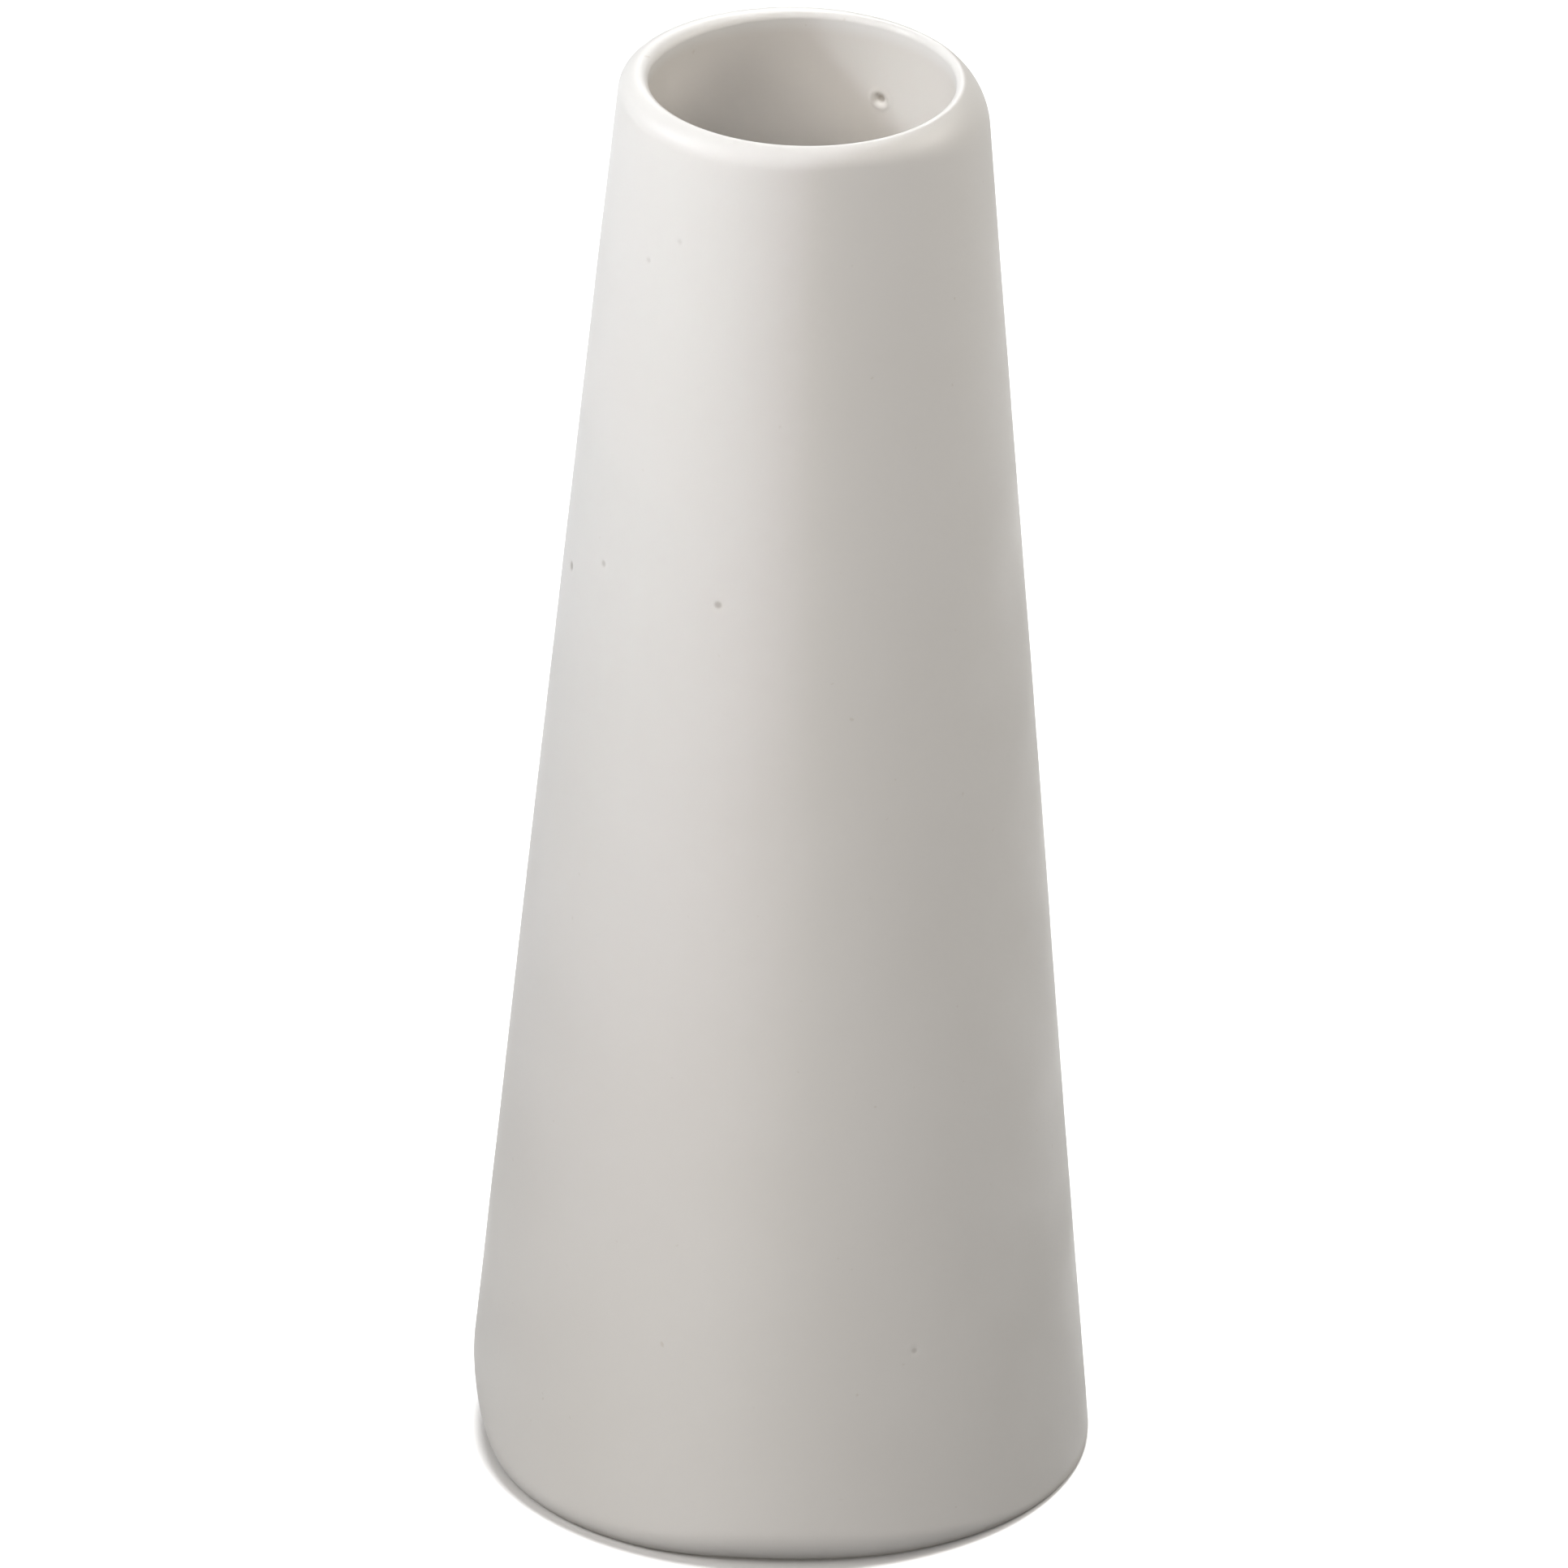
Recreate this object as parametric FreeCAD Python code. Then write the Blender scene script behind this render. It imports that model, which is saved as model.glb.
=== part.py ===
"""Ceramic bud vase: a slim slip-cast cone with a rounded lip, open at the top, on a trimmed foot ring.

It is one fired clay body under three coats of glaze. Each coat is a closed shell of its own that lies face to face
on the clay: the outer coat runs from just above the foot, up the flank and over the lip, the inner coat lines the
hollow that holds the water, and the base coat covers the ceiling of the shallow recess inside the foot ring.
The ring itself is bare clay, because the vase stands on it in the kiln.

Every piece is a half section turned about Z. Millimetres. +Z is up, and the origin is the centre of the foot ring,
on the plane that it rests on.
"""

import FreeCAD, Part
import math
import os

# Driving dimensions of the finished vase, over the glaze
HEIGHT = 152.0
FLANK_BASE_RADIUS = 32.1  # where the straight flank, carried on down, meets the table
FLANK_TOP_RADIUS = 18.1  # where the straight flank, carried on up, meets the plane of the lip
MOUTH_RADIUS = 15.4  # the narrowest part of the opening
HOLLOW_BASE_RADIUS = 27.8  # where the inner wall, carried on down, meets the plane of the inner floor
FLOOR_LEVEL = 7.0  # the inner floor, above the table
GLAZE = 0.35  # thickness of every coat

# Roundings, over the glaze
FOOT_ROUNDING = 3.5
OUTER_LIP_ROUNDING = 2.7
INNER_LIP_ROUNDING = 0.6
HOLLOW_CORNER_ROUNDING = 6.0

# Underside, in bare clay
RECESS_DEPTH = 2.0
RING_INNER_RADIUS = 23.0
RING_EDGE_ROUNDING = 0.8
RECESS_CORNER_ROUNDING = 1.0

# Where the outer coat stops, as an angle round the foot's rounding from straight down
GLAZE_LINE_ANGLE = 38.0

# Directions in the half section, as angles from +radius towards +Z
DOWN, OUT, UP, IN = -math.pi / 2, 0.0, math.pi / 2, math.pi
FLANK_NORMAL = math.atan2(FLANK_BASE_RADIUS - FLANK_TOP_RADIUS, HEIGHT)
WALL_LEAN = math.atan2(HOLLOW_BASE_RADIUS - MOUTH_RADIUS, HEIGHT - FLOOR_LEVEL)
WALL_NORMAL = IN + WALL_LEAN


def point(radius, height):
    return FreeCAD.Vector(radius, 0, height)


def line(start, end):
    return Part.makeLine(start, end)


def arc(centre, size, start, end):
    """An arc about a point of the half section, between two directions."""
    ends = [centre + size * point(math.cos(angle), math.sin(angle)) for angle in (start, (start + end) / 2, end)]
    return Part.Arc(*ends).toShape()


class Rounding:
    """A rounded corner that glaze covers: one centre, a radius over the glaze and another on the clay."""

    def __init__(self, centre, over, on_clay, start, end):
        self.centre, self.over, self.on_clay = centre, over, on_clay
        self.start, self.end = start, end

    def at(self, angle, size):
        return self.centre + size * point(math.cos(angle), math.sin(angle))

    def glaze_arc(self):
        return arc(self.centre, self.over, self.start, self.end)

    def clay_arc(self):
        return arc(self.centre, self.on_clay, self.start, self.end)


def flank_offset(depth):
    """A point that deep inside the flank, level with where the flank meets the table, and the way up the flank."""
    inward = -depth * point(math.cos(FLANK_NORMAL), math.sin(FLANK_NORMAL))
    return point(FLANK_BASE_RADIUS, 0) + inward, point(-math.sin(FLANK_NORMAL), math.cos(FLANK_NORMAL))


def foot_rounding(start):
    """The outer bottom corner: its clay is tangent to the table and its glaze to the flank."""
    foot, up_the_flank = flank_offset(FOOT_ROUNDING)
    clay_rounding = FOOT_ROUNDING - GLAZE
    centre = foot + up_the_flank * ((clay_rounding - foot.z) / up_the_flank.z)
    return Rounding(centre, FOOT_ROUNDING, clay_rounding, start, FLANK_NORMAL)


def lip_roundings():
    """The lip's outside is a wide arc off the flank that runs into a tight one over the inner edge."""
    inner_centre = point(MOUTH_RADIUS + INNER_LIP_ROUNDING, HEIGHT - INNER_LIP_ROUNDING)
    foot, up_the_flank = flank_offset(OUTER_LIP_ROUNDING)
    reach = OUTER_LIP_ROUNDING - INNER_LIP_ROUNDING
    to_inner = inner_centre - foot
    along = to_inner.dot(up_the_flank)
    off = (to_inner - along * up_the_flank).Length
    outer_centre = foot + (along - math.sqrt(reach**2 - off**2)) * up_the_flank
    way = inner_centre - outer_centre
    meeting = math.atan2(way.z, way.x)
    outer = Rounding(outer_centre, OUTER_LIP_ROUNDING, OUTER_LIP_ROUNDING - GLAZE, FLANK_NORMAL, meeting)
    inner = Rounding(inner_centre, INNER_LIP_ROUNDING, INNER_LIP_ROUNDING - GLAZE, meeting, WALL_NORMAL)
    return outer, inner


def hollow_corner(inner_lip):
    """The corner between the inner wall and the floor. Its centre is in the hollow, so the clay's arc is the wider."""
    height = FLOOR_LEVEL + HOLLOW_CORNER_ROUNDING
    wall_top = inner_lip.at(WALL_NORMAL, inner_lip.over)
    wall_radius = wall_top.x + (wall_top.z - height) * math.tan(WALL_LEAN)
    centre = point(wall_radius - HOLLOW_CORNER_ROUNDING / math.cos(WALL_LEAN), height)
    return Rounding(centre, HOLLOW_CORNER_ROUNDING, HOLLOW_CORNER_ROUNDING + GLAZE, WALL_LEAN, DOWN)


GLAZE_LINE = DOWN + math.radians(GLAZE_LINE_ANGLE)
FOOT = foot_rounding(GLAZE_LINE)
OUTER_LIP, INNER_LIP = lip_roundings()
HOLLOW_CORNER = hollow_corner(INNER_LIP)
CLAY_FLOOR = FLOOR_LEVEL - GLAZE
RING_EDGE = point(RING_INNER_RADIUS + RING_EDGE_ROUNDING, RING_EDGE_ROUNDING)
RECESS_CORNER = point(RING_INNER_RADIUS - RECESS_CORNER_ROUNDING, RECESS_DEPTH - RECESS_CORNER_ROUNDING)


def turned(edges):
    """The solid that a closed half section sweeps out about Z."""
    section = Part.Face(Part.Wire(Part.__sortEdges__(edges)))
    solid = section.revolve(FreeCAD.Vector(0, 0, 0), FreeCAD.Vector(0, 0, 1), 360)
    if solid.Volume < 0:
        solid.reverse()
    return solid


def outer_clay_face():
    """The clay that the outer coat covers, from the glaze line to the inner coat."""
    return [
        FOOT.clay_arc(),
        line(FOOT.at(FLANK_NORMAL, FOOT.on_clay), OUTER_LIP.at(FLANK_NORMAL, OUTER_LIP.on_clay)),
        OUTER_LIP.clay_arc(),
        INNER_LIP.clay_arc(),
    ]


def inner_clay_face():
    """The clay that the inner coat covers: wall, corner and floor."""
    return [
        line(INNER_LIP.at(WALL_NORMAL, INNER_LIP.on_clay), HOLLOW_CORNER.at(WALL_LEAN, HOLLOW_CORNER.on_clay)),
        HOLLOW_CORNER.clay_arc(),
        line(HOLLOW_CORNER.at(DOWN, HOLLOW_CORNER.on_clay), point(0, CLAY_FLOOR)),
    ]


def coat_joint():
    """The outer and the inner coat meet on this line across the glaze, just inside the lip."""
    return line(INNER_LIP.at(WALL_NORMAL, INNER_LIP.on_clay), INNER_LIP.at(WALL_NORMAL, INNER_LIP.over))


def clay_body():
    ring_outer_edge = FOOT.at(DOWN, FOOT.on_clay)
    underside = [
        arc(FOOT.centre, FOOT.on_clay, DOWN, GLAZE_LINE),
        line(ring_outer_edge, point(RING_EDGE.x, 0)),
        arc(RING_EDGE, RING_EDGE_ROUNDING, DOWN, -IN),
        line(point(RING_INNER_RADIUS, RING_EDGE.z), point(RING_INNER_RADIUS, RECESS_CORNER.z)),
        arc(RECESS_CORNER, RECESS_CORNER_ROUNDING, OUT, UP),
        line(point(RECESS_CORNER.x, RECESS_DEPTH), point(0, RECESS_DEPTH)),
        line(point(0, RECESS_DEPTH), point(0, CLAY_FLOOR)),
    ]
    return turned(outer_clay_face() + inner_clay_face() + underside)


def outer_glaze():
    """The coat thins to nothing at the glaze line, over a rounded edge."""
    bottom, top = FOOT.at(GLAZE_LINE, FOOT.on_clay), FOOT.at(GLAZE_LINE, FOOT.over)
    # The edge's middle bulges down, half as far as the coat is thick
    bulge = FOOT.at(GLAZE_LINE, (FOOT.over + FOOT.on_clay) / 2) + GLAZE / 2 * point(
        math.sin(GLAZE_LINE), -math.cos(GLAZE_LINE)
    )
    visible_face = [
        INNER_LIP.glaze_arc(),
        OUTER_LIP.glaze_arc(),
        line(OUTER_LIP.at(FLANK_NORMAL, OUTER_LIP.over), FOOT.at(FLANK_NORMAL, FOOT.over)),
        FOOT.glaze_arc(),
        Part.Arc(bottom, bulge, top).toShape(),
    ]
    return turned(outer_clay_face() + [coat_joint()] + visible_face)


def inner_glaze():
    visible_face = [
        line(INNER_LIP.at(WALL_NORMAL, INNER_LIP.over), HOLLOW_CORNER.at(WALL_LEAN, HOLLOW_CORNER.over)),
        HOLLOW_CORNER.glaze_arc(),
        line(HOLLOW_CORNER.at(DOWN, HOLLOW_CORNER.over), point(0, FLOOR_LEVEL)),
        line(point(0, FLOOR_LEVEL), point(0, CLAY_FLOOR)),
    ]
    return turned(inner_clay_face() + [coat_joint()] + visible_face)


def base_glaze():
    """A disc on the recess's ceiling, with a rounded rim, as wide as the ceiling is flat."""
    rim = point(RECESS_CORNER.x - GLAZE, RECESS_DEPTH)
    face_level = RECESS_DEPTH - GLAZE
    return turned(
        [
            line(point(0, RECESS_DEPTH), point(RECESS_CORNER.x, RECESS_DEPTH)),
            arc(rim, GLAZE, OUT, DOWN),
            line(point(rim.x, face_level), point(0, face_level)),
            line(point(0, face_level), point(0, RECESS_DEPTH)),
        ]
    )


def report(name, shape):
    box = shape.optimalBoundingBox()
    print(
        f"{name}: valid {shape.isValid()}, {len(shape.Solids)} solid, {shape.Volume / 1000:.2f} cm3, "
        f"radius {box.XMax:.2f}, height {box.ZMin:.2f} to {box.ZMax:.2f} mm"
    )


os.makedirs("parts", exist_ok=True)
for make in (clay_body, outer_glaze, inner_glaze, base_glaze):
    piece = make()
    report(make.__name__, piece)
    piece.exportStep(f"parts/{make.__name__}.step")
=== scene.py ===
"""A satin white ceramic bud vase, finished by hand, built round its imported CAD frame.

The CAD gives the vase its size: a straight cone with a rounded lip and a foot ring, under three coats of
glaze. This script rebuilds each of those pieces as a detailed mesh. The mould's true cone is bent a little
out of round, its foot and lip are rounded unevenly by the sponge, and its glaze has a few pinholes and faint
dimples and ends in a wavering line above bare clay.

Everything is in metres, in the frame's own axes. Angles round the vase are from +X towards +Y, so the side
that faces the camera is at 270 degrees.
"""

import math

import bmesh
import bpy
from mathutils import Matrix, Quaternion, Vector, noise


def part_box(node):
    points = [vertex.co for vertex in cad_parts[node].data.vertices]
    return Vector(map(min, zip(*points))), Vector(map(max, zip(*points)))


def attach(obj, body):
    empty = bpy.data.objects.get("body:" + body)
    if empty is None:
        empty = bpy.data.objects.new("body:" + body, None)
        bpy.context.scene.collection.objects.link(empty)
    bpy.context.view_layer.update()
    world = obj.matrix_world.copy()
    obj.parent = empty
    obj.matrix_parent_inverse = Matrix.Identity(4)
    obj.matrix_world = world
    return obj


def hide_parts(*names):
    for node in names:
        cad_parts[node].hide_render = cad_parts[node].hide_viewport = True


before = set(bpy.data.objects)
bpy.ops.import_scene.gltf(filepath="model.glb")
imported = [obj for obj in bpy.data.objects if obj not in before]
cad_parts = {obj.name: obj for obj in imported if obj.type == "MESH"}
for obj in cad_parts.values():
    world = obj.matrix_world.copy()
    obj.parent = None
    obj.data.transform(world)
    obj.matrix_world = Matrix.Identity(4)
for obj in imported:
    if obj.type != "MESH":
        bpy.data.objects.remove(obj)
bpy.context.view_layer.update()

MM = 0.001

# What the frame gives
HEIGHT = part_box("outer_glaze")[1].z
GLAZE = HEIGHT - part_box("clay_body")[1].z
FLOOR_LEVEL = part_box("inner_glaze")[0].z + GLAZE
RECESS_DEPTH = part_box("base_glaze")[1].z
RECESS_DISC_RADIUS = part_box("base_glaze")[1].x

# The half section, as the CAD has it
FLANK_BASE_RADIUS = 32.1 * MM
FLANK_TOP_RADIUS = 18.1 * MM
MOUTH_RADIUS = 15.4 * MM
HOLLOW_BASE_RADIUS = 27.8 * MM
INNER_LIP_ROUNDING = 0.6 * MM
HOLLOW_CORNER_ROUNDING = 6.0 * MM
RING_EDGE_ROUNDING = 0.8 * MM
RECESS_CORNER_ROUNDING = 1.0 * MM
RING_INNER_RADIUS = RECESS_DISC_RADIUS + RECESS_CORNER_ROUNDING

# Hand finishing: each list gives the value in millimetres at even steps round the vase, starting at +X
FOOT_ROUNDING_WIDTHS = [1.1, 2.8, 3.5, 3.5, 3.6, 4.2, 5.2, 3.2, 3.2, 4.7, 3.2, 1.4]
FOOT_ROUNDING_HEIGHTS = [1.1, 2.8, 3.5, 3.5, 3.8, 4.6, 8.6, 3.6, 3.2, 4.7, 3.2, 1.4]
OUTER_LIP_ROUNDINGS = [7.6, 3.2, 1.9, 1.9, 2.8, 2.6]
MOUTH_RADII = [15.1, 15.1, 15.3, 16.1]

# The glaze line, in degrees round the foot's rounding from straight down, how far it wavers slowly and
# quickly, and the least gap between the coat's rolled edge and the table
GLAZE_LINE_ANGLE, SLOW_WAVER, QUICK_WAVER = 38, 5, 2
EDGE_CLEARANCE = 0.15 * MM

# How far the wall wanders from true: a belly on the left, a slow wander and a quick one, which all fade out
# at the foot
BELLY, SLOW_WANDER, QUICK_WANDER = 0.06 * MM, 0.10 * MM, 0.025 * MM
FADE_HEIGHT = 6 * MM

# Directions in the half section, as angles from +radius towards +Z
DOWN, OUT, UP, IN = -math.pi / 2, 0.0, math.pi / 2, math.pi
FLANK_NORMAL = math.atan2(FLANK_BASE_RADIUS - FLANK_TOP_RADIUS, HEIGHT)
WALL_LEAN = math.atan2(HOLLOW_BASE_RADIUS - MOUTH_RADIUS, HEIGHT - FLOOR_LEVEL)
WALL_NORMAL = IN + WALL_LEAN

# Colours that every coat shares: at the lip, where two coats run together; near the foot, where it ends thinly
# above the bare clay and is darkened partly as painted shade; and in its specks, and in its marks, whose dark
# is partly painted shade in their pits
LIP_COLOUR = (0.78, 0.77, 0.75)
THIN_EDGE_AND_FOOT_SHADE_COLOUR = (0.64, 0.61, 0.56)
SPECK_COLOUR = (0.55, 0.50, 0.43)
MARK_STAIN_AND_PIT_SHADE_COLOUR = (0.30, 0.27, 0.23)

# Colours of the bare clay
CLAY_COLOUR = (0.70, 0.65, 0.57)
CLAY_CLOUD_COLOUR = (0.62, 0.57, 0.49)
GRIT_COLOUR = (0.44, 0.38, 0.31)

# How finely the pieces are divided
STEPS_ROUND = 256
FLANK_STEPS = 84
WALL_STEPS = 60
FOOT_STEPS = 18
WIDE_LIP_STEPS = 16
TIGHT_LIP_STEPS = 12
CORNER_STEPS = 12
DISC_STEPS = 12
UNDERSIDE_STEPS = 8
EDGE_STEPS = 6
RIM_STEPS = 5
LONGEST_EDGE = 4 * MM
MERGE_DISTANCE = 0.0005 * MM
SHARP_ANGLE = 50

# Pinholes and faint dimples in the glaze: angle round the vase in degrees, height, radius and depth
MARKS_OUTSIDE = [
    (194.4, 100.4 * MM, 1.20 * MM, 0.085 * MM),
    (213.2, 104.0 * MM, 0.90 * MM, 0.060 * MM),
    (250.8, 104.1 * MM, 1.00 * MM, 0.070 * MM),
    (297.3, 23.2 * MM, 0.80 * MM, 0.055 * MM),
    (220.3, 137.5 * MM, 0.80 * MM, 0.040 * MM),
    (232.0, 140.7 * MM, 0.80 * MM, 0.035 * MM),
    (31.0, 61.0 * MM, 0.70 * MM, 0.060 * MM),
    (96.0, 118.0 * MM, 0.70 * MM, 0.045 * MM),
    (143.0, 37.0 * MM, 0.70 * MM, 0.040 * MM),
]
MARKS_INSIDE = [
    (60.9, 143.3 * MM, 0.95 * MM, 0.340 * MM),
    (236.0, 127.0 * MM, 0.60 * MM, 0.100 * MM),
    (152.0, 96.0 * MM, 0.60 * MM, 0.120 * MM),
]
# A mark's parts, as shares of its radius: its pit, its stain, which is partly painted shade in the pit, the
# middle and width of the low rim round it, how far it reaches, and how far the mesh is divided finely. The
# rim's height is a share of the mark's depth.
PIT_SIZE, STAIN_AND_PIT_SHADE_SIZE = 0.62, 0.45
RIM_MIDDLE, RIM_WIDTH, RIM_HEIGHT = 1.12, 0.22, 0.22
MARK_REACH, DIVIDED_REACH = 1.6, 1.7
# A mark that is as deep as this has the full colour of its stain, which is partly painted shade in its pit
FULL_STAIN_AND_PIT_SHADE_DEPTH = 0.12 * MM


def around(values, angle):
    """The value at an angle round the vase, eased between evenly spaced ones."""
    place = (angle / (2 * math.pi) * len(values)) % len(values)
    before = int(place)
    share = place - before
    points = [values[(before + step) % len(values)] for step in (-1, 0, 1, 2)]
    rise = (points[2] - points[0]) / 2
    next_rise = (points[3] - points[1]) / 2
    a = 2 * points[1] - 2 * points[2] + rise + next_rise
    b = -3 * points[1] + 3 * points[2] - 2 * rise - next_rise
    return ((a * share + b) * share + rise) * share + points[1]


def arc(centre, width, height, start, end, steps):
    """Points of an upright ellipse's arc in the half section, both ends included."""
    angles = [start + (end - start) * step / steps for step in range(steps + 1)]
    return [(centre[0] + width * math.cos(angle), centre[1] + height * math.sin(angle)) for angle in angles]


def run(start, end, steps):
    """Points along a straight run, both ends left out."""
    shares = [step / steps for step in range(1, steps)]
    across, up = end[0] - start[0], end[1] - start[1]
    return [(start[0] + across * share, start[1] + up * share) for share in shares]


def foot_face(angle, depth, start=DOWN):
    """The foot's rounding at that depth under the glaze's face, from its lowest point up to the flank."""
    width = around(FOOT_ROUNDING_WIDTHS, angle) * MM
    height = around(FOOT_ROUNDING_HEIGHTS, angle) * MM
    reach = math.hypot(width * math.cos(FLANK_NORMAL), height * math.sin(FLANK_NORMAL))
    level = height - GLAZE
    centre = (FLANK_BASE_RADIUS - (reach + level * math.sin(FLANK_NORMAL)) / math.cos(FLANK_NORMAL), level)
    end = math.atan2(height * math.sin(FLANK_NORMAL), width * math.cos(FLANK_NORMAL))
    return arc(centre, width - depth, height - depth, start, end, FOOT_STEPS)


def lip_face(angle, depth):
    """The lip at that depth: a wide arc off the flank that runs into a tight one over the inner edge."""
    outer_rounding = around(OUTER_LIP_ROUNDINGS, angle) * MM
    mouth_radius = around(MOUTH_RADII, angle) * MM
    inner = Vector((mouth_radius + INNER_LIP_ROUNDING, HEIGHT - INNER_LIP_ROUNDING))
    normal = Vector((math.cos(FLANK_NORMAL), math.sin(FLANK_NORMAL)))
    upward = Vector((-normal.y, normal.x))
    base = Vector((FLANK_BASE_RADIUS, 0)) - outer_rounding * normal
    along = (inner - base).dot(upward)
    off = (inner - base - along * upward).length
    outer = base + (along - math.sqrt((outer_rounding - INNER_LIP_ROUNDING) ** 2 - off**2)) * upward
    meeting = math.atan2(inner.y - outer.y, inner.x - outer.x)
    if meeting > UP:
        # The wide arc carries on past its top and would stand above the lip's height, so the lip is set down
        drop = Vector((0, outer.y + outer_rounding - HEIGHT))
        outer, inner = outer - drop, inner - drop
    wide, tight = outer_rounding - depth, INNER_LIP_ROUNDING - depth
    wide_arc = arc(outer, wide, wide, FLANK_NORMAL, meeting, WIDE_LIP_STEPS)
    tight_arc = arc(inner, tight, tight, meeting, WALL_NORMAL, TIGHT_LIP_STEPS)
    return wide_arc + tight_arc[1:]


def glaze_line(angle):
    """Where the outer coat stops, as an angle round the foot's rounding. It wavers where the sponge ran."""
    around_once = Vector((math.cos(angle), math.sin(angle), 0))
    slow, quick = SLOW_WAVER * noise.noise(around_once * 2.5), QUICK_WAVER * noise.noise(around_once * 9)
    wavering = DOWN + math.radians(GLAZE_LINE_ANGLE + slow + quick)
    # Where the rounding is tight the line runs higher, so that the coat's rolled edge stays off the table
    height = around(FOOT_ROUNDING_HEIGHTS, angle) * MM
    centre, edge_radius = height - GLAZE, GLAZE / 2
    lowest = math.asin((EDGE_CLEARANCE + edge_radius - centre) / (height - edge_radius))
    return max(wavering, lowest)


def outside(angle, depth, start):
    """The vase's outer face at that depth, from the foot up the flank and over the lip."""
    foot, lip = foot_face(angle, depth, start), lip_face(angle, depth)
    return foot + run(foot[-1], lip[0], FLANK_STEPS) + lip


def hollow_corner():
    """The centre of the rounding between the wall and the floor."""
    level = FLOOR_LEVEL + HOLLOW_CORNER_ROUNDING
    wall_radius = MOUTH_RADIUS + (HEIGHT - INNER_LIP_ROUNDING - level) * math.tan(WALL_LEAN)
    return (wall_radius - HOLLOW_CORNER_ROUNDING / math.cos(WALL_LEAN), level)


def inside(angle, depth):
    """The hollow's face at that depth, from the lip down the wall and in to the middle of the floor."""
    size = HOLLOW_CORNER_ROUNDING + depth
    corner = arc(hollow_corner(), size, size, WALL_LEAN, DOWN, CORNER_STEPS)
    lip_end = lip_face(angle, depth)[-1]
    floor_run = run(corner[-1], (0, corner[-1][1]), DISC_STEPS)
    return [lip_end] + run(lip_end, corner[0], WALL_STEPS) + corner + floor_run + [(0, corner[-1][1])]


def outer_coat_section(angle):
    """The coat ends in a rolled edge, where the wiped glaze drew itself up."""
    start = glaze_line(angle)
    face, back = outside(angle, 0, start), outside(angle, GLAZE, start)
    middle = (face[0][0] + back[0][0]) / 2, (face[0][1] + back[0][1]) / 2
    roll = arc(middle, GLAZE / 2, GLAZE / 2, start + math.pi, start + 2 * math.pi, EDGE_STEPS)
    return face + back[::-1] + roll[1:-1]


def inner_coat_section(angle):
    return inside(angle, 0) + inside(angle, GLAZE)[::-1]


def clay_section(angle):
    ring_edge = (RING_INNER_RADIUS + RING_EDGE_ROUNDING, RING_EDGE_ROUNDING)
    corner = (RING_INNER_RADIUS - RECESS_CORNER_ROUNDING, RECESS_DEPTH - RECESS_CORNER_ROUNDING)
    edge_arc = arc(ring_edge, RING_EDGE_ROUNDING, RING_EDGE_ROUNDING, DOWN, -IN, UNDERSIDE_STEPS)
    corner_arc = arc(corner, RECESS_CORNER_ROUNDING, RECESS_CORNER_ROUNDING, OUT, UP, UNDERSIDE_STEPS)
    ceiling = run(corner_arc[-1], (0, RECESS_DEPTH), DISC_STEPS) + [(0, RECESS_DEPTH)]
    outer = outside(angle, GLAZE, DOWN)
    underside = [outer[0]] + run(outer[0], edge_arc[0], UNDERSIDE_STEPS) + edge_arc + corner_arc + ceiling
    return underside[::-1] + outer[1:] + inside(angle, GLAZE)[1:]


def base_coat_section(angle):
    rim = (RECESS_DISC_RADIUS - GLAZE, RECESS_DEPTH)
    edge = arc(rim, GLAZE, GLAZE, OUT, DOWN, RIM_STEPS)
    face = RECESS_DEPTH - GLAZE
    top = [(0, RECESS_DEPTH)] + run((0, RECESS_DEPTH), edge[0], DISC_STEPS)
    return top + edge + run(edge[-1], (0, face), DISC_STEPS) + [(0, face)]


def out_of_round(spot):
    """The mould's own unevenness: how far the wall, glaze and clay together, stands out from true here."""
    up = spot.z / HEIGHT
    angle = math.atan2(spot.y, spot.x)
    belly = BELLY * (1 - math.cos(angle)) * 4 * up * (1 - up)
    slow = SLOW_WANDER * noise.noise(Vector((spot.x, spot.y, spot.z * 0.6)) * 28)
    quick = QUICK_WANDER * noise.noise(spot * 95)
    return (belly + slow + quick) * min(1, spot.z / FADE_HEIGHT)


def mark_depth(spot, outward, marks):
    """How far a mark sinks the coat's face here, and how dark it is, partly as a stain and partly as painted
    shade in the pit: a rounded pit with a low rim.
    """
    sink, shade = 0.0, 0.0
    for centre, radius, depth in marks:
        apart = spot - centre
        # Counting the way through the coat four times over leaves its back as it is
        through = apart.dot(outward) * outward
        share = (apart + 3 * through).length / radius
        if share < MARK_REACH:
            pit = math.exp(-((share / PIT_SIZE) ** 4))
            rim = RIM_HEIGHT * math.exp(-(((share - RIM_MIDDLE) / RIM_WIDTH) ** 2))
            sink += depth * (pit - rim)
            # Deeper marks are darker: partly stain, partly painted shade in the pit
            stain_and_pit_shade = math.exp(-((share / STAIN_AND_PIT_SHADE_SIZE) ** 4))
            shade = max(shade, stain_and_pit_shade * min(1, depth / FULL_STAIN_AND_PIT_SHADE_DEPTH))
    return sink, shade


def spot_on(face, angle, height):
    """The spot at that angle and height on a face of the half section."""
    points = face(angle)
    for (near, low), (far, high) in zip(points, points[1:]):
        if min(low, high) <= height <= max(low, high):
            radius = near + (far - near) * (height - low) / (high - low)
            return Vector((radius * math.cos(angle), radius * math.sin(angle), height))


def marks_on(face, marks):
    """The marks, each with the spot that it has on the face in place of its angle and height."""
    placed = []
    for degrees, height, radius, depth in marks:
        placed.append((spot_on(face, math.radians(degrees), height), radius, depth))
    return placed


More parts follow.
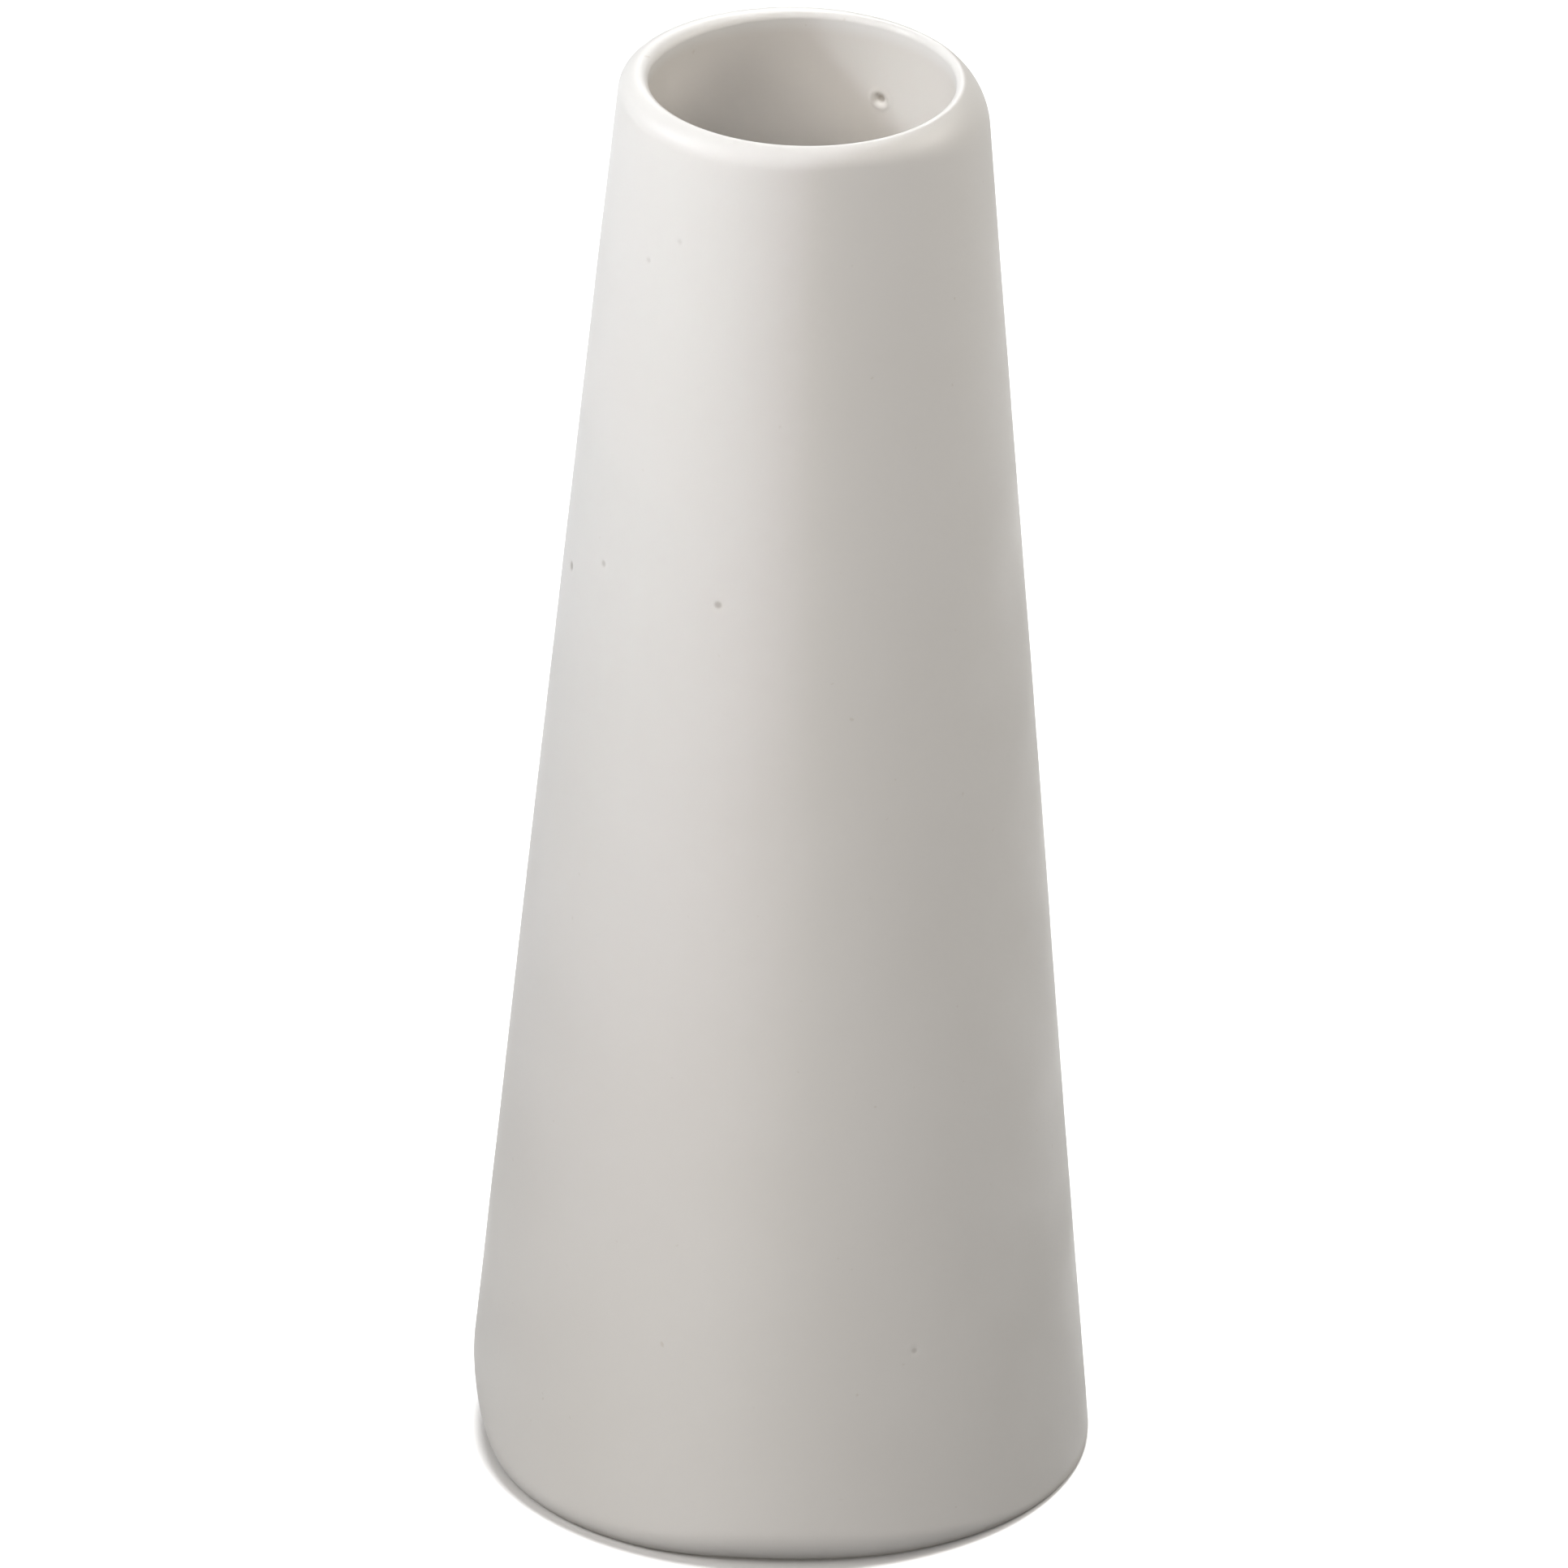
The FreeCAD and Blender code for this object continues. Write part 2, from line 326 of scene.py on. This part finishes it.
def turned(name, section, marks=(), inward=False):
    """A closed mesh from a half section that may change on its way round, with its marks sunk in."""
    bm = bmesh.new()
    rings = []
    for step in range(STEPS_ROUND):
        angle = 2 * math.pi * step / STEPS_ROUND
        rings.append([bm.verts.new((r * math.cos(angle), r * math.sin(angle), z)) for r, z in section(angle)])
    for here, beyond in zip(rings, rings[1:] + rings[:1]):
        for low in range(len(here)):
            high = (low + 1) % len(here)
            bm.faces.new((here[low], beyond[low], beyond[high], here[high]))
    bmesh.ops.remove_doubles(bm, verts=bm.verts, dist=MERGE_DISTANCE)
    on_the_axis = [edge for edge in bm.edges if not edge.link_faces]
    bmesh.ops.delete(bm, geom=on_the_axis, context="EDGES")
    for centre, radius, _ in marks:
        divide_near(bm, centre, radius * DIVIDED_REACH)
    shade = bm.verts.layers.float.new("mark")
    side = -1 if inward else 1
    for vert in bm.verts:
        spot = vert.co.copy()
        outward = Vector((spot.x, spot.y, 0))
        if outward.length > 0:
            outward.normalize()
        sink, vert[shade] = mark_depth(spot, outward, marks)
        vert.co = spot + outward * (out_of_round(spot) - side * sink)
    bmesh.ops.recalc_face_normals(bm, faces=bm.faces)
    mesh = bpy.data.meshes.new(name)
    bm.to_mesh(mesh)
    bm.free()
    mesh.shade_smooth()
    mesh.set_sharp_from_angle(angle=math.radians(SHARP_ANGLE))
    piece = bpy.data.objects.new(name, mesh)
    bpy.context.scene.collection.objects.link(piece)
    return piece


def distance(edge, spot):
    start, end = (vert.co for vert in edge.verts)
    along = end - start
    share = min(1, max(0, (spot - start).dot(along) / along.length_squared))
    return (start + share * along - spot).length


def divide_near(bm, centre, reach):
    """Divides the faces around a mark finely enough to hold its shape."""
    for cuts in (3, 2):
        level = [edge for edge in bm.edges if abs(edge.verts[0].co.z - centre.z) < LONGEST_EDGE]
        edges = [edge for edge in level if distance(edge, centre) < reach]
        bmesh.ops.subdivide_edges(bm, edges=edges, cuts=cuts, use_grid_fill=True)


def add_piece(name, section, node, slot, material, **shape):
    piece = turned(name, section, **shape)
    piece.data.materials.append(material)
    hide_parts(node)
    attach(piece, "root")
    return piece


class Nodes:
    """A short way to write a material's nodes."""

    def __init__(self, name):
        self.material = bpy.data.materials.new(name)
        self.material.use_nodes = True
        self.tree = self.material.node_tree
        self.shader = self.tree.nodes["Principled BSDF"]
        self.place = self.tree.nodes.new("ShaderNodeTexCoord").outputs["Object"]

    def link(self, source, target):
        self.tree.links.new(source, target)

    def noise(self, scale, detail=2.0):
        """Cloudy noise with that many lumps to the metre."""
        node = self.tree.nodes.new("ShaderNodeTexNoise")
        node.inputs["Scale"].default_value = scale
        node.inputs["Detail"].default_value = detail
        self.link(self.place, node.inputs["Vector"])
        return node.outputs["Fac"]

    def attribute(self, name):
        node = self.tree.nodes.new("ShaderNodeAttribute")
        node.attribute_name = name
        return node.outputs["Fac"]

    def remap(self, source, low, high, to_low, to_high):
        node = self.tree.nodes.new("ShaderNodeMapRange")
        node.interpolation_type = "SMOOTHSTEP"
        for name, value in zip(("From Min", "From Max", "To Min", "To Max"), (low, high, to_low, to_high)):
            node.inputs[name].default_value = value
        self.link(source, node.inputs["Value"])
        return node.outputs["Result"]

    def height(self):
        node = self.tree.nodes.new("ShaderNodeSeparateXYZ")
        self.link(self.place, node.inputs["Vector"])
        return node.outputs["Z"]

    def mix(self, share, first, second):
        node = self.tree.nodes.new("ShaderNodeMix")
        node.data_type = "RGBA"
        for socket, value in ((node.inputs[6], first), (node.inputs[7], second)):
            if isinstance(value, tuple):
                socket.default_value = (*value, 1.0)
            else:
                self.link(value, socket)
        self.link(share, node.inputs[0])
        return node.outputs[2]

    def bump(self, source, depth, under=None):
        node = self.tree.nodes.new("ShaderNodeBump")
        node.inputs["Strength"].default_value = 1.0
        node.inputs["Distance"].default_value = depth
        self.link(source, node.inputs["Height"])
        if under is not None:
            self.link(under, node.inputs["Normal"])
        return node.outputs["Normal"]


def glaze_material(name, colour, thin_colour, roughness):
    """Satin white glaze: faintly cloudy, with a soft orange-peel face, warmer where it runs thin. It is darker
    towards the foot, partly as painted shade, and darker in its marks, partly as painted shade in their pits.
    """
    nodes = Nodes(name)
    clouds = nodes.remap(nodes.noise(38, 3), 0.3, 0.7, 0.0, 0.35)
    # Every coat takes the lip's colour towards the top; below that the inner coat keeps its darker tone, which
    # is painted shade in the hollow
    lip = nodes.remap(nodes.height(), HEIGHT - 2.5 * MM, HEIGHT - 0.8 * MM, 0.0, 1.0)
    face = nodes.mix(lip, nodes.mix(clouds, colour, thin_colour), LIP_COLOUR)
    # Darker towards the foot: partly the coat's thin edge above the bare clay, partly painted shade on the
    # foot's rounding
    thin_edge_and_foot_shade = nodes.remap(nodes.height(), 0.3 * MM, 1.6 * MM, 0.85, 0.0)
    face = nodes.mix(thin_edge_and_foot_shade, face, THIN_EDGE_AND_FOOT_SHADE_COLOUR)
    specks = nodes.remap(nodes.noise(900, 1), 0.78, 0.84, 0.0, 0.3)
    face = nodes.mix(specks, face, SPECK_COLOUR)
    # The marks darken the face: partly stains, partly painted shade in their pits
    face = nodes.mix(nodes.remap(nodes.attribute("mark"), 0.0, 1.0, 0.0, 0.8), face, MARK_STAIN_AND_PIT_SHADE_COLOUR)
    nodes.link(face, nodes.shader.inputs["Base Color"])
    uneven = nodes.remap(nodes.noise(70, 3), 0.25, 0.75, roughness - 0.06, roughness + 0.06)
    nodes.link(uneven, nodes.shader.inputs["Roughness"])
    nodes.shader.inputs["IOR"].default_value = 1.5
    peel = nodes.bump(nodes.noise(420, 2), 0.012 * MM)
    grain = nodes.bump(nodes.noise(3200, 2), 0.003 * MM, peel)
    nodes.link(grain, nodes.shader.inputs["Normal"])
    return nodes.material


def clay_material():
    """Bare fired clay, sanded: pale, dry and finely gritty, with scuffs from the kiln shelf."""
    nodes = Nodes("bare_clay")
    clouds = nodes.remap(nodes.noise(60, 4), 0.3, 0.7, 0.0, 1.0)
    face = nodes.mix(clouds, CLAY_COLOUR, CLAY_CLOUD_COLOUR)
    grit = nodes.remap(nodes.noise(2600, 2), 0.62, 0.72, 0.0, 0.55)
    face = nodes.mix(grit, face, GRIT_COLOUR)
    nodes.link(face, nodes.shader.inputs["Base Color"])
    nodes.link(nodes.remap(nodes.noise(300, 3), 0.3, 0.7, 0.78, 0.95), nodes.shader.inputs["Roughness"])
    coarse = nodes.bump(nodes.noise(1100, 3), 0.03 * MM)
    nodes.link(nodes.bump(nodes.noise(4200, 2), 0.015 * MM, coarse), nodes.shader.inputs["Normal"])
    return nodes.material


def floor_material():
    nodes = Nodes("pale_floor")
    clouds = nodes.remap(nodes.noise(3, 2), 0.3, 0.7, 0.0, 1.0)
    nodes.link(nodes.mix(clouds, (0.93, 0.93, 0.93), (0.91, 0.91, 0.91)), nodes.shader.inputs["Base Color"])
    nodes.shader.inputs["Roughness"].default_value = 0.9
    nodes.shader.inputs["Specular IOR Level"].default_value = 0.2
    return nodes.material


def add_floor():
    mesh = bpy.data.meshes.new("floor")
    # A hair under the foot ring, so that the two faces don't lie in one plane
    half, level = 2.5, -0.02 * MM
    corners = [(-half, -half, level), (half, -half, level), (half, half, level), (-half, half, level)]
    mesh.from_pydata(corners, [], [(0, 1, 2, 3)])
    mesh.materials.append(floor_material())
    floor = bpy.data.objects.new("floor", mesh)
    bpy.context.scene.collection.objects.link(floor)
    # What a pale floor throws back would wash out the vase's shade, so the weaker BOUNCE stands in for it
    floor.visible_diffuse = False
    return floor


def add_camera():
    """Square on, 27 degrees above the table and far off, through a long lens, with the view's slight lean."""
    place, target = Vector((0, -1.4268, 0.8)), Vector((-0.00056, -0.001, 0.07403))
    lens, roll = 364.2, math.radians(1.12)
    data = bpy.data.cameras.new("camera")
    data.sensor_width = 36.0
    data.lens = lens
    data.clip_start = 0.01
    camera = bpy.data.objects.new("camera", data)
    camera.location = place
    camera.rotation_mode = "QUATERNION"
    camera.rotation_quaternion = (target - place).to_track_quat("-Z", "Y") @ Quaternion((0, 0, 1), roll)
    bpy.context.scene.collection.objects.link(camera)
    bpy.context.scene.camera = camera


# Soft boxes: name, place, the point that it faces, width, power, colour and how wide its beam is in degrees
SOFT_BOXES = [
    ("left_key", (-0.45, -0.32, 0.50), (0, 0, 0.10), 0.30, 1.60, (1.0, 0.96, 0.91), 180),
    ("front_key", (-0.05, -0.55, 0.50), (0, 0, 0.10), 0.30, 1.41, (1.0, 0.97, 0.94), 180),
    ("low_front", (-0.04, -0.50, 0.12), (0, 0, 0.10), 0.20, 0.22, (1.0, 0.91, 0.84), 180),
    ("low_left", (-0.20, -0.45, 0.08), (0, 0, 0.02), 0.12, 0.009, (1.0, 0.97, 0.94), 40),
    ("high_left", (-0.55, -0.05, 0.45), (0, 0, 0.17), 0.12, 0.051, (0.90, 0.94, 1.0), 26),
    ("right", (0.28, 0.05, 0.29), (0, 0, 0.08), 0.16, 0.46, (1.0, 0.95, 0.88), 180),
    ("top", (0, 0, 0.60), (0, 0, 0.15), 0.12, 0.010, (1.0, 0.98, 0.95), 40),
    ("back", (0, 0.75, 0.70), (0, 0.22, 0), 0.30, 0.85, (0.98, 0.99, 1.0), 70),
]
# Strengths of the even light from above and from below, and of the light on the floor alone
SKY = 0.06
BOUNCE = 0.11
FLOOR_LIGHT = 2.8


def add_light(name, place, target, width, power, colour, beam):
    data = bpy.data.lights.new(name, "AREA")
    data.shape = "DISK"
    data.size = width
    data.energy = power
    data.color = colour
    data.spread = math.radians(beam)
    light = bpy.data.objects.new(name, data)
    light.visible_camera = False
    light.location = place
    light.rotation_mode = "QUATERNION"
    light.rotation_quaternion = (Vector(target) - Vector(place)).to_track_quat("-Z", "Y")
    bpy.context.scene.collection.objects.link(light)


def add_floor_light(floor):
    """Light from straight above that falls on the floor alone and keeps it pale from every side."""
    data = bpy.data.lights.new("floor_light", "SUN")
    data.energy = FLOOR_LIGHT
    data.angle = math.radians(20)
    light = bpy.data.objects.new("floor_light", data)
    light.location = (0, 0, 2)
    bpy.context.scene.collection.objects.link(light)
    lit = bpy.data.collections.new("lit_by_floor_light")
    lit.objects.link(floor)
    light.light_linking.receiver_collection = lit


def add_surroundings():
    """Even light from all round: a little from above, and more from below, as a pale floor throws back."""
    world = bpy.data.worlds.new("studio")
    world.use_nodes = True
    tree = world.node_tree
    direction = tree.nodes.new("ShaderNodeTexCoord").outputs["Generated"]
    split = tree.nodes.new("ShaderNodeSeparateXYZ")
    tree.links.new(direction, split.inputs["Vector"])
    blend = tree.nodes.new("ShaderNodeMapRange")
    for name, value in (("From Min", -0.1), ("From Max", 0.1), ("To Min", BOUNCE), ("To Max", SKY)):
        blend.inputs[name].default_value = value
    tree.links.new(split.outputs["Z"], blend.inputs["Value"])
    background = tree.nodes["Background"]
    background.inputs["Color"].default_value = (1.0, 1.0, 1.0, 1.0)
    tree.links.new(blend.outputs["Result"], background.inputs["Strength"])
    bpy.context.scene.world = world


add_piece("clay", clay_section, "clay_body", "clay", clay_material())
add_piece(
    "outer_coat",
    outer_coat_section,
    "outer_glaze",
    "outer_glaze",
    glaze_material("outer_glaze_satin", (0.80, 0.79, 0.77), (0.77, 0.755, 0.725), 0.50),
    marks=marks_on(lambda angle: outside(angle, 0, DOWN), MARKS_OUTSIDE),
)
# The inner coat's tone is darker than the outer coat's below the lip: painted shade in the hollow
add_piece(
    "inner_coat",
    inner_coat_section,
    "inner_glaze",
    "inner_glaze",
    glaze_material("inner_glaze_satin_painted_shade", (0.74, 0.715, 0.68), (0.70, 0.67, 0.63), 0.45),
    marks=marks_on(lambda angle: inside(angle, 0), MARKS_INSIDE),
    inward=True,
)
add_piece(
    "base_coat",
    base_coat_section,
    "base_glaze",
    "base_glaze",
    glaze_material("base_glaze_satin", (0.78, 0.77, 0.74), (0.74, 0.72, 0.68), 0.50),
)

add_floor_light(add_floor())
add_camera()
for box in SOFT_BOXES:
    add_light(*box)
add_surroundings()
bpy.context.scene.view_settings.view_transform = "Standard"
